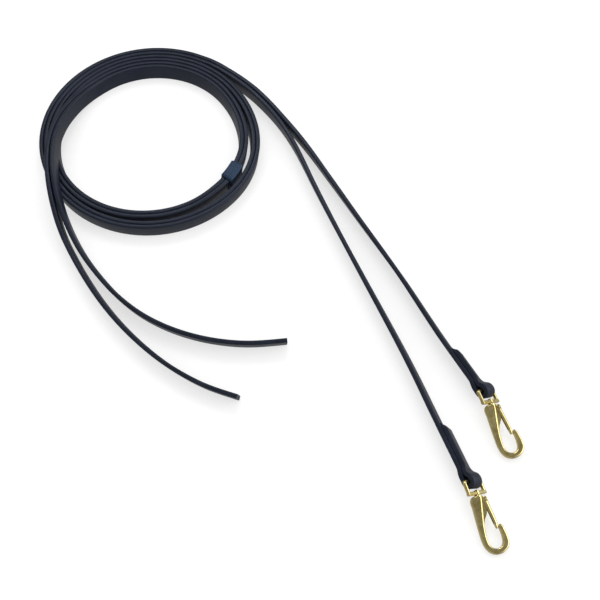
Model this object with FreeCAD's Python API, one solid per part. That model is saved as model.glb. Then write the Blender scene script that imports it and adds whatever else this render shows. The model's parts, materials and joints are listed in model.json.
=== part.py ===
import FreeCAD
import Part
import math
import os

# A pair of flat training leash straps, coiled together and lying on a surface (mm).
# Each strap has a swivel spring snap in a folded and sewn end loop, and a plain cut tip.
# +Z is up. The origin is the centre of the coil, on the surface it rests on.

Vec = FreeCAD.Vector

# ---- driving dimensions ----
STRAP_WIDTH = 16.0
STRAP_THICKNESS = 4.0
LAYER_PITCH = 4.1            # strap thickness plus the air between two layers
PAIR_PITCH = 2 * LAYER_PITCH

# the coil: a pair of straps on edge, wound inwards and anticlockwise
COIL_RADIUS = 100.3          # middle of the pair on the outermost turn
COIL_START = 60.0            # degrees, where the leads join the coil
COIL_END = 850.0             # degrees, where the pair climbs off as the two tails
MERGE_FROM = 270.0           # degrees into each turn, where the pair starts to move inwards
MERGE_SPAN = 65.0
SLACK = 4.2                  # how far the second turn sags inwards, which leaves room for the keeper
SLACK_FROM = 140.0           # degrees into the second turn
CURVE_STEP = 15.0            # degrees between the points of the coil's outline

# the keeper, a ribbed band round the second turn's two straps
KEEPER_ANGLE = -30.0
KEEPER_LENGTH = 20.0
KEEPER_WALL = 1.5
KEEPER_GAP = 0.35
KEEPER_TRAVEL = 4.0          # degrees each way
STRAP_LIFT = 2.0             # the two straps stand this high where the keeper runs under them

# the end loops and the snaps
STRAP_LEAN = 50.0            # degrees that the strap's upper edge leans over at the end loop
TAIL_LEAN = 18.0             # the same at a tail's tip
JOIN_RUN = 20.0              # a lead's first run, straight out of the coil
LAP_RUN = 16.0               # its last run, straight into the end loop
CLIMB_RUN = 12.0             # a tail's first run, up out of the coil
LOOP_PITCH = 0.5             # degrees that the end loop runs downhill
SNAP_PITCH = 8.0             # the same for the snap, whose nose rests lower than its eye
FOLD_RADIUS = 2.2            # inside the fold
NECK_REACH = -1.6            # where the two layers meet, in outside radii behind the bar
BAR_DIAMETER = 3.2
EYE_SIDE = 0.7               # room at each side of the strap in the eye
EYE_LENGTH = 10.4            # top bar to base bar, centre to centre
BASE_WIDTH = 4.6
RIVET_DIAMETER = 2.84
RIVET_HOLE = 3.0
RIVET_HEAD = 5.0
HOOK_THICKNESS = 5.0
WEB_THICKNESS = 2.2
GATE_WIDTH = 4.2
GATE_WALL = 0.75
PIN_DIAMETER = 1.6
PIN_HOLE = 1.72
PIVOT = (16.4, 4.2)          # gate pivot in the snap's own frame

# one entry per strap: top bar's centre, headings of the end loop and of the snap, lap length
SNAPS = [
    {"bar": Vec(290.9, -260.6, 11.6), "heading": -59.6, "snap_heading": -67.8, "lap": 45.0},
    {"bar": Vec(274.6, -339.3, 11.1), "heading": -68.2, "snap_heading": -70.6, "lap": 53.0},
]

# centre lines of the free stretches: x, y, height of the middle above the surface.
# A lead runs from the coil to its end loop and a tail from the coil to its tip.
LEADS = [
    [(92.5, 58.5, 8.3), (109.5, 38.8, 8.3), (124.0, 19.0, 8.3), (137.3, 0.5, 8.3),
     (149.8, -19.2, 8.3), (162.6, -41.3, 8.3), (176.8, -65.5, 8.3), (193.0, -93.5, 8.3),
     (211.0, -123.5, 8.3), (228.5, -153.5, 8.3), (244.3, -183.6, 8.3)],
    [(89.4, 55.3, 8.3), (105.9, 36.0, 8.3), (119.8, 16.4, 8.3), (131.2, -4.5, 8.3),
     (141.0, -27.3, 8.3), (150.3, -51.3, 8.3), (163.0, -81.5, 8.3), (178.2, -116.5, 8.3),
     (194.0, -152.2, 8.3), (210.0, -188.0, 8.3), (224.5, -221.0, 8.3), (236.5, -250.0, 8.3)],
]
TAILS = [
    [(-72.0, 46.0, 13.0), (-80.0, 29.5, 18.5), (-86.8, 9.0, 24.3), (-90.7, -15.0, 27.0),
     (-90.0, -40.0, 27.2), (-86.5, -63.0, 25.8), (-81.0, -85.5, 19.0), (-73.0, -108.0, 11.5),
     (-61.8, -129.5, 8.3),
     (-49.0, -151.5, 8.3), (-34.5, -173.5, 8.3), (-17.5, -195.0, 8.3), (2.5, -215.8, 8.3),
     (24.5, -234.5, 8.3), (47.0, -249.0, 8.3), (67.0, -258.8, 8.3), (87.0, -265.3, 8.3)],
    [(-68.4, 43.6, 13.0), (-76.0, 27.9, 18.5), (-82.5, 8.2, 24.3), (-86.4, -15.0, 27.0),
     (-85.6, -38.7, 27.2), (-82.0, -61.0, 25.8), (-76.0, -83.0, 19.0), (-66.5, -105.0, 11.5),
     (-53.5, -128.0, 8.3),
     (-37.0, -150.5, 8.3), (-18.5, -171.5, 8.3), (3.5, -189.5, 8.3), (28.0, -202.5, 8.3),
     (54.0, -211.2, 8.3), (80.5, -215.6, 8.3), (104.5, -216.0, 8.3), (127.0, -213.2, 8.3)],
]


def smooth(value):
    """0 to 1 with level ends."""
    value = min(max(value, 0.0), 1.0)
    return value * value * (3.0 - 2.0 * value)


def pair_radius(angle):
    """Radius of the middle of the pair at an angle counted on from turn to turn."""
    turn, into = divmod(angle - COIL_START, 360.0)
    radius = COIL_RADIUS - PAIR_PITCH * (turn + smooth((into - MERGE_FROM) / MERGE_SPAN))
    if turn == 1 and into > SLACK_FROM:
        radius -= SLACK * math.sin(math.radians(180.0 * (into - SLACK_FROM) / (360.0 - SLACK_FROM))) ** 2
    return radius


def polar(radius, angle, height=0.0):
    turn = math.radians(angle)
    return Vec(radius * math.cos(turn), radius * math.sin(turn), height)


def rim(start, end, offset):
    """A smooth line that follows the pair at a constant offset from its middle."""
    steps = max(2, int(round((end - start) / CURVE_STEP)))
    angles = [start + (end - start) * i / steps for i in range(steps + 1)]
    curve = Part.BSplineCurve()
    curve.interpolate([polar(pair_radius(a) + offset, a) for a in angles])
    return curve.toShape()


def ends(edge):
    return edge.Vertexes[0].Point, edge.Vertexes[-1].Point


def closed_wire(edge):
    first, last = ends(edge)
    return Part.Wire([edge, Part.LineSegment(last, first).toShape()])


def slab(wire, low, high):
    face = Part.Face(wire)
    face.translate(Vec(0, 0, low))
    return face.extrude(Vec(0, 0, high - low))


def sector(inner, outer, start, end, low, high):
    """A block between two radii and two angles."""
    block = Part.makeCylinder(outer, high - low, Vec(0, 0, low), Vec(0, 0, 1), end - start)
    block = block.cut(Part.makeCylinder(inner, high - low, Vec(0, 0, low)))
    block.rotate(Vec(0, 0, 0), Vec(0, 0, 1), start)
    return block


def keeper_radius():
    return pair_radius(360.0 + 360.0 + KEEPER_ANGLE)


def half_angle(length, radius):
    return math.degrees(0.5 * length / radius)


def make_coil():
    """All the turns as one solid, with the gap that the slack leaves between the two pairs."""
    outer = closed_wire(rim(COIL_START, COIL_START + 360.0, LAYER_PITCH))
    inner = closed_wire(rim(COIL_END - 360.0, COIL_END, -LAYER_PITCH))
    coil = slab(outer, 0.0, STRAP_WIDTH).cut(slab(inner, -1.0, STRAP_WIDTH + 1.0))
    gap_start = COIL_START + 360.0 + SLACK_FROM + 20.0
    gap_end = COIL_START + 700.0
    near = rim(gap_start, gap_end, LAYER_PITCH)
    far = rim(gap_start - 360.0, gap_end - 360.0, -LAYER_PITCH)
    near_first, near_last = ends(near)
    far_first, far_last = ends(far)
    gap = Part.Wire(Part.__sortEdges__([
        near, Part.LineSegment(near_last, far_last).toShape(),
        far, Part.LineSegment(far_first, near_first).toShape()]))
    coil = coil.cut(slab(gap, -1.0, STRAP_WIDTH + 1.0))
    # where the keeper runs, the second turn's straps stand on its lower wall
    radius = keeper_radius()
    reach = half_angle(KEEPER_LENGTH, radius) + KEEPER_TRAVEL + 1.5
    start, end = KEEPER_ANGLE - reach, KEEPER_ANGLE + reach
    inside, between = radius - 2 * LAYER_PITCH, radius + LAYER_PITCH + 0.5 * SLACK
    lifted = coil.copy()
    lifted.translate(Vec(0, 0, STRAP_LIFT))
    lifted = lifted.common(sector(inside, between, start, end, STRAP_LIFT, 2 * STRAP_WIDTH))
    coil = coil.cut(sector(inside, between, start, end, -1.0, STRAP_LIFT))
    return coil.fuse(lifted).removeSplitter()


def make_keeper():
    """A ribbed band, curved like the straps that it goes round."""
    radius = keeper_radius()
    half = half_angle(KEEPER_LENGTH, radius)
    start, end = KEEPER_ANGLE - half, KEEPER_ANGLE + half
    inside = LAYER_PITCH + KEEPER_GAP
    floor = STRAP_LIFT - KEEPER_GAP
    ceiling = STRAP_LIFT + STRAP_WIDTH + KEEPER_GAP
    wall = KEEPER_WALL
    band = sector(radius - inside - wall, radius + inside + wall, start, end, floor - wall, ceiling + wall)
    hole = sector(radius - inside, radius + inside, start - 1.0, end + 1.0, floor, ceiling)
    band = band.cut(hole)
    rib_count = 5
    rib_depth = 0.35
    spacing = 2 * inside / rib_count
    for i in range(rib_count + 1):
        middle = radius - inside + i * spacing
        rib = sector(middle - 0.3, middle + 0.3, start, end, ceiling + wall - 0.1, ceiling + wall + rib_depth)
        band = band.fuse(rib)
    return band.removeSplitter()


# ---- free stretches of strap ----

def rounded_route(points):
    """Straight runs joined by tangent arcs, each as large as its two runs allow."""
    edges, radii = [], []
    here = points[0]
    for before, corner, after in zip(points, points[1:], points[2:]):
        back, on = before - corner, after - corner
        half_turn = 0.5 * (math.pi - back.getAngle(on))
        reach = 0.45 * min(back.Length, on.Length)
        radius = reach / math.tan(half_turn)
        radii.append(radius)
        start = corner + back.normalize() * reach
        end = corner + on.normalize() * reach
        towards = (back + on).normalize()
        middle = corner + towards * (radius / math.cos(half_turn) - radius)
        edges.append(Part.LineSegment(here, start).toShape())
        edges.append(Part.Arc(start, middle, end).toShape())
        here = end
    edges.append(Part.LineSegment(here, points[-1]).toShape())
    return Part.Wire(edges), radii


def strap_section(centre, along, lean):
    """The strap's rectangular cross-section, its upper edge leaning to the right of its direction."""
    left = Vec(0, 0, 1).cross(along).normalize()
    up = along.cross(left).normalize()
    turn = math.radians(lean)
    across = up * math.cos(turn) - left * math.sin(turn)
    normal = left * math.cos(turn) + up * math.sin(turn)
    a, n = across * (0.5 * STRAP_WIDTH), normal * (0.5 * STRAP_THICKNESS)
    corners = [centre + a + n, centre - a + n, centre - a - n, centre + a - n]
    return Part.makePolygon(corners + corners[:1])


def make_strap(name, points, lean_start, lean_end):
    """A free stretch of strap from section to section along its route."""
    route, radii = rounded_route(points)
    stations = []
    for edge in route.OrderedEdges:
        parts = 1 if edge.Curve.TypeId == "Part::GeomLine" else 3
        first, last = edge.FirstParameter, edge.LastParameter
        for i in range(parts):
            at = first + (last - first) * i / parts
            stations.append((edge.valueAt(at), edge.tangentAt(at), edge.Length / parts))
    last_edge = route.OrderedEdges[-1]
    stations.append((last_edge.valueAt(last_edge.LastParameter), last_edge.tangentAt(last_edge.LastParameter), 0.0))
    sections = []
    run = 0.0
    for place, along, step in stations:
        lean = lean_start + (lean_end - lean_start) * smooth(run / route.Length)
        sections.append(strap_section(place, along, lean))
        run += step
    solid = Part.makeLoft(sections, True, True)
    ideal = STRAP_WIDTH * STRAP_THICKNESS * route.Length
    print(f"{name}: length {route.Length:.0f}, smallest radius {min(radii):.0f}, "
          f"volume {solid.Volume:.0f} against {ideal:.0f}, valid {solid.isValid()}")
    return solid, route.Length


# ---- end loops and snaps, each made in its own frame and then placed ----

def placed(shape, origin, along, across):
    """Put a shape made in x, y, z at origin with x along and z across."""
    side = across.cross(along)
    matrix = FreeCAD.Matrix(
        along.x, side.x, across.x, origin.x,
        along.y, side.y, across.y, origin.y,
        along.z, side.z, across.z, origin.z,
        0, 0, 0, 1)
    shape.Placement = FreeCAD.Placement(matrix)
    return shape


def heading_vector(heading, pitch):
    """Unit vector at a heading on the surface, pitched downhill."""
    heading, pitch = math.radians(heading), math.radians(pitch)
    return Vec(math.cos(heading) * math.cos(pitch), math.sin(heading) * math.cos(pitch), -math.sin(pitch))


def loop_frame(snap):
    """Direction of the end loop, and of the strap's width there."""
    along = heading_vector(snap["heading"], LOOP_PITCH)
    left = Vec(0, 0, 1).cross(along).normalize()
    up = along.cross(left)
    lean = math.radians(STRAP_LEAN)
    return along, up * math.cos(lean) - left * math.sin(lean)


def snap_frame(snap):
    """Direction of the snap, its eye's top bar, and the upward normal of its flat body."""
    along = heading_vector(snap["snap_heading"], SNAP_PITCH)
    _, strap_width = loop_frame(snap)
    bar = (strap_width - along * strap_width.dot(along)).normalize()
    left = Vec(0, 0, 1).cross(along).normalize()
    return along, bar, along.cross(left)


def outline(*parts):
    """A closed wire through points; a part of three points is an arc from the last point."""
    edges = []
    here = Vec(*parts[0], 0)
    first = here
    for part in parts[1:]:
        if len(part) == 2 and isinstance(part[0], tuple):
            middle, there = Vec(*part[0], 0), Vec(*part[1], 0)
            edges.append(Part.Arc(here, middle, there).toShape())
        else:
            there = Vec(*part, 0)
            edges.append(Part.LineSegment(here, there).toShape())
        here = there
    if here.distanceToPoint(first) > 0.001:
        edges.append(Part.LineSegment(here, first).toShape())
    return Part.Wire(edges)


def loop_profile(lap):
    """The folded strap seen from its edge: round the bar, and back against itself."""
    inner, outer = FOLD_RADIUS, FOLD_RADIUS + STRAP_THICKNESS
    seam = -inner                      # where the returning layer meets the straight one
    back = seam + STRAP_THICKNESS      # outer face of the returning layer
    neck = NECK_REACH * outer
    tip = -lap
    return outline(
        (tip, -outer), (0, -outer), ((outer, 0), (0, outer)),
        ((-0.66 * outer, 0.68 * outer), (neck, back)),
        (tip + 5.0, back), (tip, seam + 0.8), (tip - 0.01, seam))


def fold_hole():
    """The teardrop space inside the fold, where the eye's top bar turns."""
    inner = FOLD_RADIUS
    return outline(
        (-2.6 * inner, -inner), (0, -inner), ((inner, 0), (0, inner)), (-0.9 * inner, 0.72 * inner))


def make_end_loop(snap):
    half = 0.5 * STRAP_WIDTH
    loop = slab(loop_profile(snap["lap"]), -half, half)
    loop = loop.cut(slab(fold_hole(), -half - 1.0, half + 1.0))
    along, across = loop_frame(snap)
    return placed(loop, snap["bar"], along, across)


def make_lap_stitching(snap):
    """Two rows of thread along the lap, each stitch half sunk in the strap."""
    length, thread, pitch = 3.4, 0.7, 4.6
    edge_distance = 2.6
    seam = -FOLD_RADIUS
    faces = [seam - STRAP_THICKNESS, seam + STRAP_THICKNESS]
    first, last = -snap["lap"] + 6.5, NECK_REACH * (FOLD_RADIUS + STRAP_THICKNESS) - 1.0
    count = int((last - first) / pitch) + 1
    stitches = []
    for side in (-1, 1):
        row = side * (0.5 * STRAP_WIDTH - edge_distance)
        for face in faces:
            for i in range(count):
                stitch = Part.makeCylinder(0.5 * thread, length, Vec(first + i * pitch, face, row), Vec(1, 0, 0))
                stitches.append(stitch)
    along, across = loop_frame(snap)
    return placed(Part.makeCompound(stitches), snap["bar"], along, across)


def make_swivel_eye(snap):
    """Rectangular wire eye whose wide base bar has the swivel hole."""
    radius = 0.5 * BAR_DIAMETER
    half = 0.5 * STRAP_WIDTH + EYE_SIDE + radius
    bend = 2.0
    corner = bend * (1.0 - math.sqrt(0.5))
    path = []
    for side in (-1, 1):
        path.append(Part.LineSegment(Vec(bend, 0, side * half), Vec(EYE_LENGTH, 0, side * half)).toShape())
        path.append(Part.Arc(Vec(bend, 0, side * half), Vec(corner, 0, side * (half - corner)),
                             Vec(0, 0, side * (half - bend))).toShape())
    path.append(Part.LineSegment(Vec(0, 0, -half + bend), Vec(0, 0, half - bend)).toShape())
    wire = Part.Wire(Part.__sortEdges__(path))
    start = wire.OrderedVertexes[0].Point
    section = Part.Wire(Part.makeCircle(radius, start, Vec(1, 0, 0)))
    eye = wire.makePipeShell([section], True, False)
    base_depth = 3.0
    base = Part.makeBox(base_depth, BAR_DIAMETER, 2 * half + BAR_DIAMETER,
                        Vec(EYE_LENGTH - 0.5 * base_depth, -radius, -half - radius))
    base = base.makeFillet(0.9, base.Edges)
    boss = Part.makeCylinder(0.5 * BASE_WIDTH + 0.4, base_depth, Vec(EYE_LENGTH - 0.5 * base_depth, 0, 0), Vec(1, 0, 0))
    hole = Part.makeCylinder(0.5 * RIVET_HOLE, base_depth + 2.0, Vec(EYE_LENGTH - 0.5 * base_depth - 1.0, 0, 0), Vec(1, 0, 0))
    eye = eye.fuse([base, boss]).cut(hole).removeSplitter()
    along, across, _ = snap_frame(snap)
    return placed(eye, snap["bar"], along, across)


def body_start():
    """Where the snap's body begins, just clear of the eye's base."""
    return EYE_LENGTH + 1.5 + 0.1


def make_swivel_rivet(snap):
    """Rivet with a domed head inside the eye and its shank fixed in the body."""
    seat = EYE_LENGTH - 1.5 - 0.06
    radius = 0.5 * RIVET_HEAD
    rise = 1.0
    ball_radius = (radius * radius + rise * rise) / (2 * rise)
    head = Part.makeSphere(ball_radius, Vec(seat + ball_radius - rise, 0, 0))
    head = head.common(Part.makeCylinder(radius, rise, Vec(seat - rise, 0, 0), Vec(1, 0, 0)))
    shank = Part.makeCylinder(0.5 * RIVET_DIAMETER, body_start() + 4.5 - seat, Vec(seat, 0, 0), Vec(1, 0, 0))
    along, _, up = snap_frame(snap)
    return placed(head.fuse(shank), snap["bar"], along, up)


def make_snap_body(snap):
    """Flat hook: a thick rim from the neck round the bowl to the nose, and a thin web by the gate."""
    top = body_start() + 0.9
    half = 0.5 * HOOK_THICKNESS
    hook = slab(outline(
        (top, -6.4), ((31.0, -9.3), (48.5, -10.7)), ((60.7, 0.6), (50.0, 10.1)),
        ((44.6, 9.9), (40.0, 8.7)), ((39.2, 7.6), (40.2, 6.5)), (48.8, 5.9),
        ((56.8, -0.2), (49.5, -6.2)), (44.0, -5.8), ((28.5, -1.9), (17.0, 1.9)), (top, 1.9)), -half, half)
    web_half = 0.5 * WEB_THICKNESS
    px, py = PIVOT
    ear = 1.45
    web = slab(outline(
        (top, -4.0), (top, 1.8), (px - ear, py), ((px, py + ear), (px + ear, py)), (26.6, 2.3),
        ((33.0, -2.3), (43.0, -5.9)), (41.0, -7.0), (20.0, -5.5)), -web_half, web_half)
    collar = Part.makeCylinder(3.0, top + 0.5 - body_start(), Vec(body_start(), 0, 0), Vec(1, 0, 0))
    body = hook.fuse([web, collar])
    body = body.cut(Part.makeCylinder(0.5 * RIVET_DIAMETER, 4.5, Vec(body_start(), 0, 0), Vec(1, 0, 0)))
    body = body.cut(Part.makeCylinder(0.5 * PIN_DIAMETER, HOOK_THICKNESS, Vec(px, py, -half)))
    along, _, up = snap_frame(snap)
    return placed(body.removeSplitter(), snap["bar"], along, up)


def make_snap_gate(snap):
    """Channel that straddles the web, closed on its outer side, with its tip inside the nose."""
    px, py = PIVOT
    root = 1.75
    half = 0.5 * GATE_WIDTH
    shape = outline(
        (px, py - root), (41.2, 3.9), ((41.8, 4.9), (41.3, 5.9)), (39.2, 6.0), (38.2, 6.95),
        (px, py + root), ((px - root, py), (px, py - root)))
    gate = slab(shape, -half, half)
    slot_half = half - GATE_WALL
    slot = slab(outline(
        (px - 3.0, py - 3.0), (37.5, 1.0), (37.5, 6.15), (px + 2.5, 5.3),
        (px + 2.5, 8.5), (px - 3.0, 8.5)), -slot_half, slot_half)
    gate = gate.cut(slot)
    gate = gate.cut(Part.makeCylinder(0.5 * PIN_HOLE, HOOK_THICKNESS, Vec(px, py, -0.5 * HOOK_THICKNESS)))
    along, _, up = snap_frame(snap)
    return placed(gate.removeSplitter(), snap["bar"], along, up)


def make_gate_pin(snap):
    """Pin with a low peened head at each end."""
    px, py = PIVOT
    half = 0.5 * GATE_WIDTH
    pin = Part.makeCylinder(0.5 * PIN_DIAMETER, 2 * half + 0.2, Vec(px, py, -half - 0.1))
    for side in (-1, 1):
        pin = pin.fuse(Part.makeCone(1.2, 0.8, 0.35, Vec(px, py, side * (half + 0.1)), Vec(0, 0, side)))
    along, _, up = snap_frame(snap)
    return placed(pin.removeSplitter(), snap["bar"], along, up)


def make_gate_spring(snap):
    """Bent leaf that stands on the web's edge and presses the gate's back outwards."""
    thickness = 0.35
    half = 0.9
    spring = slab(outline(
        (18.9, 4.05), (21.2, 3.55), (28.0, 5.3), (28.0, 5.3 + thickness),
        (21.2, 3.55 + thickness), (18.9, 4.05 + thickness)), -half, half)
    along, _, up = snap_frame(snap)
    return placed(spring, snap["bar"], along, up)


def lead_points(index):
    """A lead's route, from the step in the coil's outline to the start of its lap."""
    snap = SNAPS[index]
    layer = 0.5 - index
    start = polar(COIL_RADIUS + layer * LAYER_PITCH, COIL_START, 0.5 * STRAP_WIDTH)
    along, across = loop_frame(snap)
    side = across.cross(along)
    straight_layer = -(FOLD_RADIUS + 0.5 * STRAP_THICKNESS)
    end = snap["bar"] - along * snap["lap"] + side * straight_layer
    join = start + polar(JOIN_RUN, COIL_START - 90.0)
    return [start, join] + [Vec(*p) for p in LEADS[index]] + [end - along * LAP_RUN, end]


def tail_points(index):
    layer = 0.5 - index
    radius = pair_radius(COIL_END) + layer * LAYER_PITCH
    start = polar(radius, COIL_END, 0.5 * STRAP_WIDTH)
    climb = start + polar(CLIMB_RUN, COIL_END + 90.0, 1.0)
    return [start, climb] + [Vec(*p) for p in TAILS[index]]


def coil_length(layer_offset):
    """Length of one strap inside the coil."""
    steps = 240
    places = []
    for i in range(steps + 1):
        angle = COIL_START + (COIL_END - COIL_START) * i / steps
        places.append(polar(pair_radius(angle) + layer_offset, angle))
    return sum(a.distanceToPoint(b) for a, b in zip(places, places[1:]))


def save(name, shape):
    if not shape.isValid():
        print("not valid:", name)
    shape.exportStep(f"parts/{name}.step")


def main():
    os.makedirs("parts", exist_ok=True)
    save("strap_coil", make_coil())
    save("keeper", make_keeper())
    for index, snap in enumerate(SNAPS):
        number = index + 1
        lead, lead_length = make_strap(f"lead_strap_{number}", lead_points(index), 0.0, STRAP_LEAN)
        tail, tail_length = make_strap(f"tail_strap_{number}", tail_points(index), 0.0, TAIL_LEAN)
        loop_length = 2 * snap["lap"] + math.pi * FOLD_RADIUS
        total = lead_length + coil_length((0.5 - index) * LAYER_PITCH) + tail_length + loop_length
        print(f"strap {number}: {total:.0f} mm in all")
        save(f"lead_strap_{number}", lead)
        save(f"tail_strap_{number}", tail)
        save(f"end_loop_{number}", make_end_loop(snap))
        save(f"lap_stitching_{number}", make_lap_stitching(snap))
        save(f"swivel_eye_{number}", make_swivel_eye(snap))
        save(f"swivel_rivet_{number}", make_swivel_rivet(snap))
        save(f"snap_body_{number}", make_snap_body(snap))
        save(f"snap_gate_{number}", make_snap_gate(snap))
        save(f"gate_pin_{number}", make_gate_pin(snap))
        save(f"gate_spring_{number}", make_gate_spring(snap))


main()
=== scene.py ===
import bpy
import json
import math
from mathutils import Matrix, Vector


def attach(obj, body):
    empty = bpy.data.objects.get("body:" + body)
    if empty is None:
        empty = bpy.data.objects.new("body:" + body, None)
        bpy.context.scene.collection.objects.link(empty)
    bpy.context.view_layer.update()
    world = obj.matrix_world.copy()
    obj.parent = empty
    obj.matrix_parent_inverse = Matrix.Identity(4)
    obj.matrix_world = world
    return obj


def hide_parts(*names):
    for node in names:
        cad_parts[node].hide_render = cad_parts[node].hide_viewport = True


# A coiled pair of training leash straps with brass swivel snaps, in metres.
# Distances follow part.py; the origin is the coil's centre on the floor.

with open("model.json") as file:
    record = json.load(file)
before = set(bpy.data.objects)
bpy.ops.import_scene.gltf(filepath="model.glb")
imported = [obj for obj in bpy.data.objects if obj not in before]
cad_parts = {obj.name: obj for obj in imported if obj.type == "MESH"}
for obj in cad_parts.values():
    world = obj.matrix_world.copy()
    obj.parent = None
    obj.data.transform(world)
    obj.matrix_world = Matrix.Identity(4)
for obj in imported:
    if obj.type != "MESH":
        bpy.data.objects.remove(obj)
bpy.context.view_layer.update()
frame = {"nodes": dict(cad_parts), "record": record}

MM = 0.001

# ---- the straps, as in part.py ----
STRAP_WIDTH = 16.0 * MM
STRAP_THICKNESS = 4.0 * MM
LAYER_PITCH = 4.1 * MM
PAIR_PITCH = 2 * LAYER_PITCH
EDGE_ROUNDING = 1.25 * MM
COIL_RADIUS = 100.3 * MM
COIL_START = 60.0
COIL_END = 850.0
MERGE_FROM = 270.0
MERGE_SPAN = 65.0
SLACK = 4.2 * MM
SLACK_FROM = 140.0
COIL_STEP = 15.0
JOIN_RUN = 20.0 * MM
LAP_RUN = 16.0 * MM

# the keeper, a ribbed band round the second turn's two straps
KEEPER_ANGLE = 690.0         # counted on from turn to turn
KEEPER_LENGTH = 20.0 * MM
KEEPER_WALL = 1.5 * MM
KEEPER_GAP = 0.35 * MM
KEEPER_ROUNDING = 2.0 * MM
RIB_COUNT = 5
RIB_DEPTH = 0.4 * MM
STRAP_LIFT = 2.3 * MM        # the straps stand this high in the keeper, a little more than in part.py
LIFT_REACH = 32.0            # degrees from the keeper to where the straps are down on the floor
LIFT_RUN = 16.0              # degrees over which they come down

# how far the strap's upper edge leans outwards, in degrees, by stretch
LOOP_LEAN = 50.0
LAP_LEAN = 24.0              # at the start of the lap, before the twist into the fold
LEAD_LEAN = 4.0              # where a lead runs onto the coil
RING_LEAN = 7.0
TAIL_LEAN = 19.0

# end loops and snaps
LOOP_PITCH = 0.5
SNAP_PITCH = 8.0
FOLD_RADIUS = 2.2 * MM
TWIST_FROM = 1.0 * MM        # before the bar, where the fold starts to turn steeper towards the lap
TWIST_RUN = 13.0 * MM
FOLD_NARROWING = 0.28        # share of its width that the strap loses where it goes round the bar
NARROW_FROM = 10.0 * MM      # before the bar
NARROW_RUN = 8.0 * MM
TIP_TAPER = 5.5 * MM         # the folded end is pared down to its tip
TIP_THINNESS = 0.25          # shares of the thickness and width that are left at the tip
TIP_WIDTH = 0.85
STITCH_LENGTH = 3.0 * MM
STITCH_PITCH = 4.4 * MM
STITCH_MARGIN = 2.6 * MM
STITCH_FIRST = 1.0 * MM      # past the pared tip
STITCH_LAST = 12.0 * MM      # before the bar
THREAD = 0.5 * MM
BODY_START = 12.0 * MM
HOOK_THICKNESS = 5.0 * MM
WEB_THICKNESS = 2.2 * MM
# the gate, in millimetres in the snap's own frame
PIVOT = (16.4, 4.2)
EAR_LENGTH = 4.4
EAR_RADIUS = 1.75
EAR_TIP = 0.02               # the ears start this far inside their round end
GATE_WIDTH = 4.2
GATE_WALL = 0.75
CHANNEL_END = (37.6, 5.15)
SNAPS = [
    {"bar": (290.9, -260.6, 11.6), "heading": -59.6, "snap_heading": -67.8, "lap": 45.0},
    {"bar": (274.6, -339.3, 11.1), "heading": -68.2, "snap_heading": -70.6, "lap": 53.0},
]

# centre lines of the free stretches, in millimetres: x, y, height of the middle
LEADS = [
    [(92.5, 58.5, 8.3), (109.5, 38.8, 8.3), (124.0, 19.0, 8.3), (137.3, 0.5, 8.3),
     (149.8, -19.2, 8.3), (162.6, -41.3, 8.3), (176.8, -65.5, 8.3), (193.0, -93.5, 8.3),
     (211.0, -123.5, 8.3), (228.5, -153.5, 8.3), (244.3, -183.6, 8.3)],
    [(89.4, 55.3, 8.3), (105.9, 36.0, 8.3), (119.8, 16.4, 8.3), (131.2, -4.5, 8.3),
     (141.0, -27.3, 8.3), (150.3, -51.3, 8.3), (163.0, -81.5, 8.3), (178.2, -116.5, 8.3),
     (194.0, -152.2, 8.3), (210.0, -188.0, 8.3), (224.5, -221.0, 8.3), (236.5, -250.0, 8.3)],
]
TAILS = [
    [(-72.0, 46.0, 11.0), (-80.0, 29.5, 15.5), (-86.8, 9.0, 21.0), (-90.7, -15.0, 24.6),
     (-90.0, -40.0, 25.2), (-86.5, -63.0, 24.4), (-81.0, -85.5, 18.5), (-73.0, -108.0, 11.5),
     (-61.8, -129.5, 8.3), (-49.0, -151.5, 8.3), (-34.5, -173.5, 8.3), (-17.5, -195.0, 8.3),
     (2.5, -215.8, 8.3), (24.5, -234.5, 8.3), (47.0, -249.0, 8.3), (67.0, -258.8, 8.3),
     (87.0, -265.3, 8.3)],
    [(-68.4, 43.6, 11.0), (-76.0, 27.9, 15.5), (-82.5, 8.2, 21.0), (-86.4, -15.0, 24.6),
     (-85.6, -38.7, 25.2), (-82.0, -61.0, 24.4), (-76.0, -83.0, 18.5), (-66.5, -105.0, 11.5),
     (-53.5, -128.0, 8.3), (-37.0, -150.5, 8.3), (-18.5, -171.5, 8.3), (3.5, -189.5, 8.3),
     (28.0, -202.5, 8.3), (54.0, -211.2, 8.3), (80.5, -215.6, 8.3), (104.5, -216.0, 8.3),
     (127.0, -213.2, 8.3)],
]

UP = Vector((0, 0, 1))


# ---- geometry helpers ----

def smooth(value):
    value = min(max(value, 0.0), 1.0)
    return value * value * (3.0 - 2.0 * value)


def polar(radius, angle, height=0.0):
    turn = math.radians(angle)
    return Vector((radius * math.cos(turn), radius * math.sin(turn), height))


def pair_radius(angle):
    """Radius of the middle of the pair, at an angle counted on from turn to turn."""
    turn, into = divmod(angle - COIL_START, 360.0)
    radius = COIL_RADIUS - PAIR_PITCH * (turn + smooth((into - MERGE_FROM) / MERGE_SPAN))
    if turn == 1 and into > SLACK_FROM:
        share = (into - SLACK_FROM) / (360.0 - SLACK_FROM)
        radius -= SLACK * math.sin(math.pi * share) ** 2
    return radius


def heading_vector(heading, pitch):
    """Unit vector at a heading on the floor, pitched downhill."""
    heading, pitch = math.radians(heading), math.radians(pitch)
    level = math.cos(pitch)
    return Vector((math.cos(heading) * level, math.sin(heading) * level, -math.sin(pitch)))


def loop_frame(snap):
    """Direction of the end loop, its sideways direction, and the strap's width there."""
    along = heading_vector(snap["heading"], LOOP_PITCH)
    left = UP.cross(along).normalized()
    up = along.cross(left)
    lean = math.radians(LOOP_LEAN)
    across = up * math.cos(lean) - left * math.sin(lean)
    return along, across.cross(along), across


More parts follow.
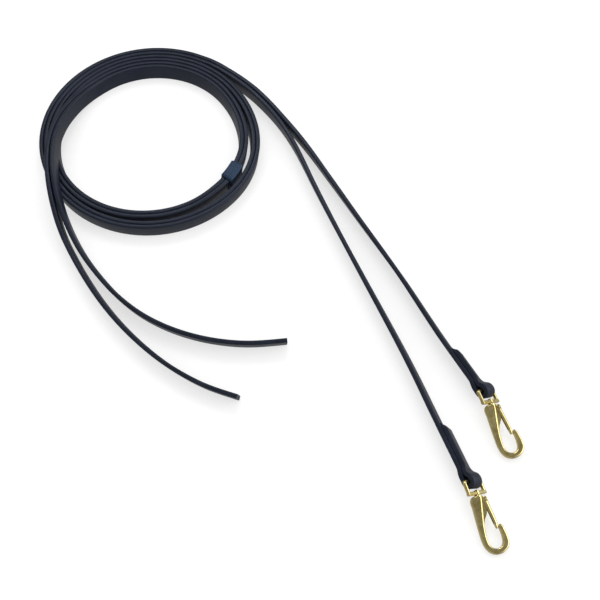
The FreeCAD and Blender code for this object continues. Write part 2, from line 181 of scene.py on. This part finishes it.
def snap_frame(snap):
    """Direction of the snap, its sideways direction, and the normal of its flat body."""
    along = heading_vector(snap["snap_heading"], SNAP_PITCH)
    left = UP.cross(along).normalized()
    return along, left, along.cross(left)


def local_matrix(origin, axes):
    """Matrix that puts local x, y, z along the three axes, at origin."""
    x, y, z = axes
    return Matrix((
        (x.x, y.x, z.x, origin.x),
        (x.y, y.y, z.y, origin.y),
        (x.z, y.z, z.z, origin.z),
        (0, 0, 0, 1)))


def bar_centre(snap):
    return Vector(snap["bar"]) * MM


def add_object(name, data, material, body):
    data.name = name
    item = bpy.data.objects.new(name, data)
    bpy.context.scene.collection.objects.link(item)
    data.materials.clear()
    data.materials.append(material)
    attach(item, body)
    return item


def spline_line(points):
    """Points along a smooth NURBS curve that has these control points."""
    curve = bpy.data.curves.new("line", "CURVE")
    curve.dimensions = "3D"
    curve.resolution_u = 10
    spline = curve.splines.new("NURBS")
    spline.points.add(len(points) - 1)
    for place, point in zip(spline.points, points):
        place.co = (*point, 1.0)
    spline.order_u = 3
    spline.use_endpoint_u = True
    item = bpy.data.objects.new("line", curve)
    mesh = bpy.data.meshes.new_from_object(item)
    line = [vertex.co.copy() for vertex in mesh.vertices]
    bpy.data.objects.remove(item)
    bpy.data.curves.remove(curve)
    bpy.data.meshes.remove(mesh)
    return line


def rounded_section(width, thickness, rounding, steps=5):
    """Corners of a rounded rectangle, as (across, normal) pairs."""
    section = []
    for corner, (a, n) in enumerate(((1, 1), (-1, 1), (-1, -1), (1, -1))):
        for i in range(steps + 1):
            turn = math.radians(90.0 * (corner + i / steps))
            section.append((
                a * (0.5 * width - rounding) + rounding * math.cos(turn),
                n * (0.5 * thickness - rounding) + rounding * math.sin(turn)))
    return section


def swept_solid(stations, section):
    """Vertices and faces of the section placed at stations of (centre, across, normal)."""
    vertices = []
    for centre, across, normal in stations:
        for a, n in section:
            vertices.append(centre + across * a + normal * n)
    count = len(section)
    faces = []
    for ring in range(len(stations) - 1):
        for i in range(count):
            j = (i + 1) % count
            faces.append((
                ring * count + i, ring * count + j, (ring + 1) * count + j, (ring + 1) * count + i))
    last = (len(stations) - 1) * count
    faces.append(tuple(reversed(range(count))))
    faces.append(tuple(range(last, last + count)))
    return vertices, faces


def mesh_of(solids):
    """One mesh from a list of (vertices, faces)."""
    vertices, faces = [], []
    for solid_vertices, solid_faces in solids:
        first = len(vertices)
        vertices += solid_vertices
        for face in solid_faces:
            faces.append([first + i for i in face])
    mesh = bpy.data.meshes.new("mesh")
    mesh.from_pydata(vertices, [], faces)
    mesh.validate()
    mesh.shade_smooth()
    mesh.set_sharp_from_angle(angle=math.radians(50.0))
    return mesh


def directions(line):
    """Unit direction of a line at each of its points."""
    result = []
    for i in range(len(line)):
        before, after = line[max(i - 1, 0)], line[min(i + 1, len(line) - 1)]
        result.append((after - before).normalized())
    return result


# ---- materials ----

def new_material(name):
    material = bpy.data.materials.new(name)
    material.use_nodes = True
    shader = material.node_tree.nodes["Principled BSDF"]
    return material, material.node_tree, shader


def noise(tree, scale, detail=4.0, roughness=0.55):
    node = tree.nodes.new("ShaderNodeTexNoise")
    place = tree.nodes.new("ShaderNodeTexCoord")
    node.inputs["Scale"].default_value = scale
    node.inputs["Detail"].default_value = detail
    node.inputs["Roughness"].default_value = roughness
    tree.links.new(place.outputs["Object"], node.inputs["Vector"])
    return node


def ramp(tree, source, stops):
    """Colour ramp of (position, colour) stops driven by a texture's value."""
    node = tree.nodes.new("ShaderNodeValToRGB")
    elements = node.color_ramp.elements
    while len(elements) < len(stops):
        elements.new(0.5)
    for element, (position, colour) in zip(elements, stops):
        element.position = position
        element.color = (*colour, 1.0)
    tree.links.new(source, node.inputs["Fac"])
    return node


def bump(tree, shader, source, strength, distance):
    node = tree.nodes.new("ShaderNodeBump")
    node.inputs["Strength"].default_value = strength
    node.inputs["Distance"].default_value = distance
    tree.links.new(source, node.inputs["Height"])
    tree.links.new(node.outputs["Normal"], shader.inputs["Normal"])


def vary(tree, source, low, high, socket):
    """Sends a texture's value, spread between low and high, to a shader socket."""
    node = tree.nodes.new("ShaderNodeMapRange")
    node.inputs["From Min"].default_value = 0.3
    node.inputs["From Max"].default_value = 0.7
    node.inputs["To Min"].default_value = low
    node.inputs["To Max"].default_value = high
    tree.links.new(source, node.inputs["Value"])
    tree.links.new(node.outputs["Result"], socket)


def leather():
    material, tree, shader = new_material("navy_black_strap")
    wear = noise(tree, 60.0)
    colour = ramp(tree, wear.outputs["Fac"], [
        (0.35, (0.006, 0.008, 0.014)),
        (0.65, (0.010, 0.013, 0.022))])
    tree.links.new(colour.outputs["Color"], shader.inputs["Base Color"])
    shader.inputs["Specular IOR Level"].default_value = 0.38
    shader.inputs["Specular Tint"].default_value = (0.68, 0.76, 1.0, 1.0)
    grain = noise(tree, 1500.0, 3.0)
    vary(tree, wear.outputs["Fac"], 0.36, 0.50, shader.inputs["Roughness"])
    bump(tree, shader, grain.outputs["Fac"], 0.12, 0.0004)
    return material


def keeper_rubber():
    material, tree, shader = new_material("keeper_rubber")
    shader.inputs["Base Color"].default_value = (0.010, 0.020, 0.045, 1.0)
    shader.inputs["Specular Tint"].default_value = (0.5, 0.7, 1.0, 1.0)
    shader.inputs["Roughness"].default_value = 0.42
    bump(tree, shader, noise(tree, 900.0).outputs["Fac"], 0.1, 0.0003)
    return material


def thread():
    material, tree, shader = new_material("navy_thread")
    shader.inputs["Base Color"].default_value = (0.012, 0.018, 0.030, 1.0)
    shader.inputs["Roughness"].default_value = 0.7
    bump(tree, shader, noise(tree, 2500.0).outputs["Fac"], 0.3, 0.0002)
    return material


def brass():
    material, tree, shader = new_material("cast_brass")
    stain = noise(tree, 160.0, 3.0)
    colour = ramp(tree, stain.outputs["Fac"], [
        (0.35, (0.66, 0.54, 0.22)),
        (0.65, (0.82, 0.69, 0.32))])
    tree.links.new(colour.outputs["Color"], shader.inputs["Base Color"])
    shader.inputs["Metallic"].default_value = 1.0
    vary(tree, stain.outputs["Fac"], 0.17, 0.24, shader.inputs["Roughness"])
    bump(tree, shader, noise(tree, 260.0, 2.0).outputs["Fac"], 0.05, 0.0003)
    return material


def steel():
    material, tree, shader = new_material("spring_steel")
    shader.inputs["Base Color"].default_value = (0.55, 0.55, 0.53, 1.0)
    shader.inputs["Metallic"].default_value = 1.0
    vary(tree, noise(tree, 800.0).outputs["Fac"], 0.25, 0.4, shader.inputs["Roughness"])
    return material


# ---- camera ----

CAMERA_PLACE = (0.138, -0.679, 0.9148)
CAMERA_TILT = 29.17          # degrees from straight down
LENS = 72.0
SENSOR = 36.0


def add_camera():
    camera = bpy.data.cameras.new("camera")
    camera.lens = LENS
    camera.sensor_width = SENSOR
    item = bpy.data.objects.new("camera", camera)
    item.location = CAMERA_PLACE
    item.rotation_euler = (math.radians(CAMERA_TILT), 0, 0)
    bpy.context.scene.collection.objects.link(item)
    bpy.context.scene.camera = item


# ---- straps ----

def lap_start(snap):
    """Where the lap begins, in the middle of the straight layer."""
    along, side, _ = loop_frame(snap)
    middle = FOLD_RADIUS + 0.5 * STRAP_THICKNESS
    return bar_centre(snap) - along * snap["lap"] * MM - side * middle


def lean_shift():
    """How far the turns' middle lies inside their upper edge, because they lean outwards."""
    return 0.5 * STRAP_WIDTH * math.sin(math.radians(RING_LEAN))


def keeper_lift(angle):
    """The straps stand on the keeper's lower wall, and come down to the floor at each side of it."""
    return STRAP_LIFT * smooth((LIFT_REACH - abs(angle - KEEPER_ANGLE)) / LIFT_RUN)


def strap_route(index):
    """Control points from the lap to the tip, with the lean of the strap at each."""
    snap = SNAPS[index]
    along, _, _ = loop_frame(snap)
    layer = (0.5 - index) * LAYER_PITCH
    middle = 0.5 * STRAP_WIDTH
    start = polar(COIL_RADIUS + layer, COIL_START, middle)
    lead = [lap_start(snap), lap_start(snap) - along * LAP_RUN]
    lead += [Vector(point) * MM for point in reversed(LEADS[index])]
    lead.append(start + polar(JOIN_RUN, COIL_START - 90.0))
    leans = []
    for i in range(len(lead)):
        leans.append(-LAP_LEAN + (LAP_LEAN - LEAD_LEAN) * smooth(i / (len(lead) - 1)))
    leans[1] = leans[0]
    turns = []
    steps = int(round((COIL_END - COIL_START) / COIL_STEP))
    outward = 1.0 / math.cos(math.radians(0.5 * COIL_STEP))
    for i in range(steps + 1):
        angle = COIL_START + i * COIL_STEP
        radius = pair_radius(min(angle, COIL_END)) + layer - lean_shift()
        turns.append(polar(radius * outward, angle, middle + keeper_lift(angle)))
    leans += [RING_LEAN] * len(turns)
    tail = [Vector(point) * MM for point in TAILS[index]]
    for i in range(len(tail)):
        leans.append(RING_LEAN + (TAIL_LEAN - RING_LEAN) * smooth(i / (len(tail) - 1)))
    return lead + turns + tail, leans


def spread_leans(line, points, leans):
    """Lean at each point of the line, from the leans at the control points."""
    nearest = []
    at = 0
    reach = max(1, 3 * len(line) // len(points))
    for point in points:
        window = range(at, min(at + reach, len(line)))
        at = min(window, key=lambda i: (line[i] - point).length)
        nearest.append(at)
    nearest[-1] = len(line) - 1
    result = []
    k = 0
    for i in range(len(line)):
        while k < len(points) - 2 and i >= nearest[k + 1]:
            k += 1
        span = max(nearest[k + 1] - nearest[k], 1)
        share = min(max((i - nearest[k]) / span, 0.0), 1.0)
        result.append(leans[k] + (leans[k + 1] - leans[k]) * share)
    return result


def make_strap(index, material):
    points, leans = strap_route(index)
    line = spline_line(points)
    stations = []
    for centre, along, lean in zip(line, directions(line), spread_leans(line, points, leans)):
        left = UP.cross(along).normalized()
        up = along.cross(left)
        turn = math.radians(lean)
        across = up * math.cos(turn) - left * math.sin(turn)
        normal = left * math.cos(turn) + up * math.sin(turn)
        stations.append((centre, across, normal))
    section = rounded_section(STRAP_WIDTH, STRAP_THICKNESS, EDGE_ROUNDING)
    number = index + 1
    mesh = mesh_of([swept_solid(stations, section)])
    item = add_object(f"strap_{number}", mesh, material, "straps")
    return item


def lap_twist(x):
    """The lap stands steeper than its fold; this turns a section of it at x, along the straight layer."""
    share = smooth((-x - TWIST_FROM) / TWIST_RUN)
    axis = Vector((0, -(FOLD_RADIUS + 0.5 * STRAP_THICKNESS), 0))
    turn = Matrix.Rotation(math.radians(LAP_LEAN - LOOP_LEAN) * share, 3, "X")
    return axis, turn


def twisted(stations):
    """Stations made in the end loop's own frame, turned to follow the lap."""
    result = []
    for centre, across, normal in stations:
        axis, turn = lap_twist(centre.x)
        result.append((axis + turn @ (centre - axis), turn @ across, turn @ normal))
    return result


def make_end_loop(index, material):
    """The strap's end, folded round the eye's bar and sewn back against itself."""
    snap = SNAPS[index]
    radius = (FOLD_RADIUS + 0.5 * STRAP_THICKNESS) / MM
    seam = (0.5 * STRAP_THICKNESS - FOLD_RADIUS) / MM
    lap = snap["lap"]
    profile = [
        (-lap - 1.0, -radius), (-lap + 10.0, -radius), (-14.0, -radius), (-5.0, -radius), (1.8, -radius),
        (4.5, -2.0), (4.5, 2.0), (1.8, radius + 0.1), (-2.4, 3.9), (-5.0, 1.6),
        (-7.6, seam), (-13.0, seam), (-lap + 10.0, seam), (-lap + 4.0, seam), (-lap, seam)]
    line = spline_line([Vector((x, y, 0)) * MM for x, y in profile])
    stations = []
    for centre, along in zip(line, directions(line)):
        normal = UP.cross(along)
        across = UP * (1.0 - FOLD_NARROWING * smooth((centre.x + NARROW_FROM) / NARROW_RUN))
        if centre.y > -FOLD_RADIUS and centre.x < -0.5 * lap * MM:
            share = smooth((centre.x + lap * MM) / TIP_TAPER)
            pared = (1.0 - TIP_THINNESS) * (1.0 - share)
            centre = centre - Vector((0, 0.5 * STRAP_THICKNESS * pared, 0))
            normal = normal * (1.0 - pared)
            across = across * (TIP_WIDTH + (1.0 - TIP_WIDTH) * share)
        stations.append((centre, across, normal))
    section = rounded_section(STRAP_WIDTH, STRAP_THICKNESS, 0.7 * EDGE_ROUNDING)
    mesh = mesh_of([swept_solid(twisted(stations), section)])
    mesh.transform(local_matrix(bar_centre(snap), loop_frame(snap)))
    number = index + 1
    item = add_object(f"end_loop_{number}_leather", mesh, material, "straps")
    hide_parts(f"end_loop_{number}")


def make_lap_stitching(index, material):
    """Two rows of thread through the lap, each stitch sunk in the strap's face."""
    snap = SNAPS[index]
    sunk = 0.3 * THREAD
    faces = [-FOLD_RADIUS - STRAP_THICKNESS + sunk, -FOLD_RADIUS + STRAP_THICKNESS - sunk]
    half = 0.5 * STITCH_LENGTH
    bulge = [(-half, 0.3), (-0.6 * half, 0.85), (0.0, 1.0), (0.6 * half, 0.85), (half, 0.3)]
    solids = []
    first = -snap["lap"] * MM + TIP_TAPER + STITCH_FIRST
    count = int((-STITCH_LAST - first) / STITCH_PITCH) + 1
    for row in (-1, 1):
        for y in faces:
            for i in range(count):
                place = Vector((first + i * STITCH_PITCH, y, row * (0.5 * STRAP_WIDTH - STITCH_MARGIN)))
                stations = []
                for x, share in bulge:
                    across, normal = UP * share, Vector((0, 1, 0)) * share
                    stations.append((place + Vector((x, 0, 0)), across, normal))
                section = rounded_section(THREAD, THREAD, 0.49 * THREAD, 2)
                solids.append(swept_solid(twisted(stations), section))
    mesh = mesh_of(solids)
    mesh.transform(local_matrix(bar_centre(snap), loop_frame(snap)))
    number = index + 1
    item = add_object(f"lap_thread_{number}", mesh, material, "straps")
    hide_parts(f"lap_stitching_{number}")


# ---- keeper ----

def band_section(half_radial, half_height, rounding, rib_depth):
    """Closed outline of the keeper as (height, outward) pairs, with the ribs on its upper side."""
    steps = 6
    samples = 8 * RIB_COUNT
    section = []
    for corner, (a, n) in enumerate(((1, 1), (-1, 1), (-1, -1), (1, -1))):
        for i in range(steps + 1):
            turn = math.radians(90.0 * (corner + i / steps))
            section.append((
                a * (half_height - rounding) + rounding * math.cos(turn),
                n * (half_radial - rounding) + rounding * math.sin(turn)))
    flat = half_radial - rounding
    for i in range(1, samples):
        share = i / samples
        rise = 0.5 - 0.5 * math.cos(2 * math.pi * RIB_COUNT * share)
        section.append((half_height + rib_depth * rise, flat * (2 * share - 1)))
    return section


def make_keeper(material):
    """A ribbed band round the second turn; its surface runs out over the top and back through the hole."""
    radius = pair_radius(KEEPER_ANGLE) - lean_shift()
    half_angle = math.degrees(0.5 * KEEPER_LENGTH / radius)
    hole_radial = LAYER_PITCH + KEEPER_GAP
    hole_height = 0.5 * STRAP_WIDTH + KEEPER_GAP
    wall = KEEPER_WALL
    half = 0.5 * wall
    outer = band_section(hole_radial + wall, hole_height + wall, KEEPER_ROUNDING, RIB_DEPTH)
    softened = band_section(hole_radial + half, hole_height + half, KEEPER_ROUNDING, 0.3 * RIB_DEPTH)
    inner = band_section(hole_radial, hole_height, 0.5 * MM, 0.0)
    stations = [(-1.0, inner), (-1.0, softened)]
    stations += [(-0.9 + 1.8 * i / 8, outer) for i in range(9)]
    stations += [(1.0, softened), (1.0, inner), (0.5, inner), (0.0, inner), (-0.5, inner)]
    vertices, faces = [], []
    lean = math.radians(RING_LEAN)
    for share, section in stations:
        angle = KEEPER_ANGLE + share * half_angle
        out = polar(1.0, angle)
        across = UP * math.cos(lean) + out * math.sin(lean)
        normal = out * math.cos(lean) - UP * math.sin(lean)
        centre = out * radius + UP * (0.5 * STRAP_WIDTH + STRAP_LIFT)
        vertices += [centre + across * a + normal * n for a, n in section]
    count = len(outer)
    rings = len(stations)
    for ring in range(rings):
        after = (ring + 1) % rings
        for i in range(count):
            j = (i + 1) % count
            faces.append((ring * count + i, after * count + i, after * count + j, ring * count + j))
    item = add_object("keeper_band", mesh_of([(vertices, faces)]), material, "keeper")
    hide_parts("keeper")


# ---- snaps ----

def plate_mesh(points, thickness, rounding):
    """A flat plate with rounded edges; its outline is a smooth line through the points."""
    curve = bpy.data.curves.new("plate", "CURVE")
    curve.dimensions = "2D"
    curve.fill_mode = "BOTH"
    curve.resolution_u = 8
    curve.extrude = 0.5 * thickness - rounding
    curve.bevel_depth = rounding
    curve.bevel_resolution = 4
    curve.offset = -rounding
    spline = curve.splines.new("BEZIER")
    spline.bezier_points.add(len(points) - 1)
    for place, point in zip(spline.bezier_points, points):
        place.co = (point[0] * MM, point[1] * MM, 0)
        place.handle_left_type = "AUTO"
        place.handle_right_type = "AUTO"
    spline.use_cyclic_u = True
    item = bpy.data.objects.new("plate", curve)
    mesh = bpy.data.meshes.new_from_object(item)
    bpy.data.objects.remove(item)
    bpy.data.curves.remove(curve)
    mesh.shade_smooth()
    return mesh


# outlines of the hook's rim and web in the snap's own frame, in millimetres
HOOK_OUTLINE = [
    (12.9, -5.6), (14.0, -6.9), (22.0, -8.1), (31.0, -9.2), (40.0, -10.2), (48.5, -10.7), (55.0, -9.3),
    (59.5, -5.3), (60.8, 0.3), (59.4, 5.3), (55.6, 9.0), (50.0, 10.1), (44.6, 9.9), (40.8, 9.3),
    (38.9, 7.6), (40.6, 6.3), (44.5, 6.1), (48.8, 5.7), (53.6, 4.2), (56.2, 0.6), (55.6, -3.2),
    (52.6, -5.7), (48.0, -6.2), (43.5, -5.7), (37.0, -4.4), (30.0, -2.4), (23.0, -0.3), (18.0, 1.3),
    (15.0, 2.0), (13.2, 1.9), (12.9, 0.0)]
WEB_OUTLINE = [
    (12.9, -4.0), (12.9, 1.6), (14.6, 3.6), (16.4, 5.6), (18.2, 4.1), (22.0, 3.3), (26.6, 2.3), (29.7, 0.3),
    (33.0, -2.3), (38.0, -4.6), (43.0, -6.2), (40.0, -7.2), (28.0, -6.2), (20.0, -5.4)]

# the gate's cross-sections, as (height, outward) pairs in millimetres
GATE_BACK = [(-1.8, -1.75), (-2.1, -0.9), (-2.05, 0.1), (-1.75, 0.9), (-1.2, 1.45), (-0.5, 1.72), (0.5, 1.72),
             (1.2, 1.45), (1.75, 0.9), (2.05, 0.1), (2.1, -0.9), (1.8, -1.75)]
GATE_CHANNEL = GATE_BACK + [(1.35, -1.75), (1.35, 1.15), (-1.35, 1.15), (-1.35, -1.75)]
# the gate's solid tip, as (along, outward, depth) in millimetres and a share of the gate's depth
GATE_TIP = [(37.4, 5.15, 0.85), (39.6, 5.0, 0.66), (41.2, 4.95, 0.56), (41.6, 4.95, 0.4)]


def make_snap(index, material):
    """The cast hook: thick rounded rim, thin web and the collar at its neck."""
    snap = SNAPS[index]
    number = index + 1
    place = local_matrix(bar_centre(snap), snap_frame(snap))
    rim = plate_mesh(HOOK_OUTLINE, HOOK_THICKNESS, 1.2 * MM)
    rim.transform(place)
    hook = add_object(f"snap_hook_{number}", rim, material, f"hook_{number}")
    web = plate_mesh(WEB_OUTLINE, WEB_THICKNESS, 0.2 * MM)
    web.transform(place)
    web = add_object(f"snap_web_{number}", web, material, f"hook_{number}")
    collar = collar_mesh()
    collar.transform(place)
    collar = add_object(f"snap_collar_{number}", collar, material, f"hook_{number}")
    for piece in (hook, web, collar):
        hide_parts(f"snap_body_{number}")


def make_gate(index, material):
    """A pressed channel with a rounded back, two ears on the pin and a solid tip."""
    px, py = PIVOT
    root = px - EAR_RADIUS
    solids = []
    for side in (-1, 1):
        stations = []
        for step in range(9):
            x = root + EAR_TIP + step / 8 * (EAR_LENGTH - EAR_TIP)
            depth = math.sqrt(max(EAR_RADIUS ** 2 - min(x - px, 0.0) ** 2, 0.04)) / EAR_RADIUS
            centre = Vector((x, py, side * 0.5 * (GATE_WIDTH - GATE_WALL))) * MM
            stations.append((centre, UP, Vector((0, depth, 0))))
        section = rounded_section(GATE_WALL * MM, 2 * EAR_RADIUS * MM, 0.3 * MM, 3)
        solids.append(swept_solid(stations, section))
    channel = [Vector((root + EAR_LENGTH - 0.1, py + 0.1, 0)), Vector((*CHANNEL_END, 0))]
    stations = [(place * MM, UP, Vector((0, depth, 0))) for place, depth in zip(channel, (1.0, 0.85))]
    solids.append(swept_solid(stations, [(a * MM, n * MM) for a, n in GATE_CHANNEL]))
    stations = []
    for x, y, depth in GATE_TIP:
        stations.append((Vector((x, y, 0)) * MM, UP * (0.6 + 0.4 * depth), Vector((0, depth, 0))))
    solids.append(swept_solid(stations, [(a * MM, n * MM) for a, n in GATE_BACK]))
    mesh = mesh_of(solids)
    mesh.transform(local_matrix(bar_centre(SNAPS[index]), snap_frame(SNAPS[index])))
    number = index + 1
    item = add_object(f"gate_bar_{number}", mesh, material, f"gate_{number}")
    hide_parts(f"snap_gate_{number}")


def collar_mesh():
    """Turned collar between the eye and the hook, from (distance along, radius) pairs."""
    profile = [
        (0.0, 0.0), (0.0, 2.4), (0.35, 2.9), (1.0, 3.0),
        (1.6, 2.9), (2.4, 2.5), (3.6, 2.3), (3.6, 0.0)]
    segments = 32
    vertices = []
    for distance, radius in profile:
        for i in range(segments):
            turn = 2 * math.pi * i / segments
            vertices.append((
                BODY_START + distance * MM, radius * MM * math.cos(turn), radius * MM * math.sin(turn)))
    faces = []
    for ring in range(len(profile) - 1):
        for i in range(segments):
            j = (i + 1) % segments
            faces.append((ring * segments + i, (ring + 1) * segments + i,
                          (ring + 1) * segments + j, ring * segments + j))
    mesh = bpy.data.meshes.new("collar")
    mesh.from_pydata(vertices, [], faces)
    mesh.validate()
    mesh.shade_smooth()
    return mesh


# ---- room ----

FLOOR_REACH = 6.0
FLOOR_LEVEL = -0.2 * MM              # just under the object
SOFTBOX_DIRECTION = (0.98, 0.05, 0.19)


def add_light(name, place, target, size, power):
    light = bpy.data.lights.new(name, "AREA")
    light.shape = "RECTANGLE"
    light.size, light.size_y = size
    light.energy = power
    item = bpy.data.objects.new(name, light)
    item.location = place
    item.rotation_euler = (Vector(target) - Vector(place)).to_track_quat("-Z", "Y").to_euler()
    bpy.context.scene.collection.objects.link(item)


def add_room():
    mesh = bpy.data.meshes.new("floor")
    signs = ((-1, -1), (1, -1), (1, 1), (-1, 1))
    corners = [(x * FLOOR_REACH, y * FLOOR_REACH, FLOOR_LEVEL) for x, y in signs]
    mesh.from_pydata(corners, [], [(0, 1, 2, 3)])
    floor = bpy.data.objects.new("floor", mesh)
    bpy.context.scene.collection.objects.link(floor)
    material, tree, shader = new_material("floor_white")
    shader.inputs["Base Color"].default_value = (0.42, 0.42, 0.42, 1.0)
    shader.inputs["Roughness"].default_value = 0.9
    shader.inputs["Specular IOR Level"].default_value = 0.0
    shader.inputs["Emission Color"].default_value = (1.0, 1.0, 1.0, 1.0)
    shader.inputs["Emission Strength"].default_value = 0.6
    dark = tree.nodes.new("ShaderNodeEmission")
    dark.inputs["Color"].default_value = (0.45, 0.45, 0.45, 1.0)
    mix_for_reflections(tree, shader.outputs["BSDF"], dark.outputs["Emission"], "Material Output")
    mesh.materials.append(material)
    add_world()
    add_light("key", (-0.1, 0.85, 1.4), (0.0, 0.0, 0.0), (1.1, 0.6), 8.0)
    add_light("side", (1.3, -0.2, 0.8), (0.1, -0.1, 0.0), (0.8, 0.8), 3.0)
    bpy.context.scene.view_settings.view_transform = "Standard"


def add_world():
    """White room for light on surfaces; polished pieces mirror a dark studio with one large softbox."""
    world = bpy.data.worlds.new("studio")
    world.use_nodes = True
    bpy.context.scene.world = world
    tree = world.node_tree
    room = tree.nodes["Background"]
    room.inputs["Color"].default_value = (1.0, 1.0, 1.0, 1.0)
    room.inputs["Strength"].default_value = 0.95
    studio = tree.nodes.new("ShaderNodeBackground")
    place = tree.nodes.new("ShaderNodeTexCoord")
    softbox = tree.nodes.new("ShaderNodeVectorMath")
    softbox.operation = "DOT_PRODUCT"
    softbox.inputs[1].default_value = SOFTBOX_DIRECTION
    tree.links.new(place.outputs["Generated"], softbox.inputs[0])
    greys = [(0.0, 0.32), (0.30, 0.20), (0.50, 0.20), (0.62, 0.6), (0.74, 1.5), (1.0, 1.8)]
    bands = ramp(tree, softbox.outputs["Value"], [(level, (grey, grey, grey)) for level, grey in greys])
    tree.links.new(bands.outputs["Color"], studio.inputs["Color"])
    mix_for_reflections(tree, room.outputs["Background"], studio.outputs["Background"], "World Output")


def mix_for_reflections(tree, usual, mirrored, output):
    """Polished pieces mirror a darker studio than the white one that lights the surfaces."""
    mix = tree.nodes.new("ShaderNodeMixShader")
    rays = tree.nodes.new("ShaderNodeLightPath")
    tree.links.new(rays.outputs["Is Glossy Ray"], mix.inputs["Fac"])
    tree.links.new(usual, mix.inputs[1])
    tree.links.new(mirrored, mix.inputs[2])
    tree.links.new(mix.outputs["Shader"], tree.nodes[output].inputs["Surface"])


def main():
    add_camera()
    strap_leather = leather()
    straps = [make_strap(index, strap_leather) for index in range(2)]
    for index, strap in enumerate(straps):
        number = index + 1
        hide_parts(f"lead_strap_{number}", f"tail_strap_{number}", "strap_coil")
    cast_brass = brass()
    navy_thread = thread()
    band_rubber = keeper_rubber()
    make_keeper(band_rubber)
    for index in range(2):
        make_end_loop(index, strap_leather)
        make_lap_stitching(index, navy_thread)
        make_snap(index, cast_brass)
        make_gate(index, cast_brass)
    looks = {"strap": strap_leather, "keeper": band_rubber, "thread": navy_thread,
             "brass": cast_brass, "spring": steel()}
    for part in frame["record"]["subparts"]:
        item = frame["nodes"][part["node"]]
        for material_slot in item.material_slots:
            material_slot.material = looks[part["material_slot"]]
    add_room()


main()
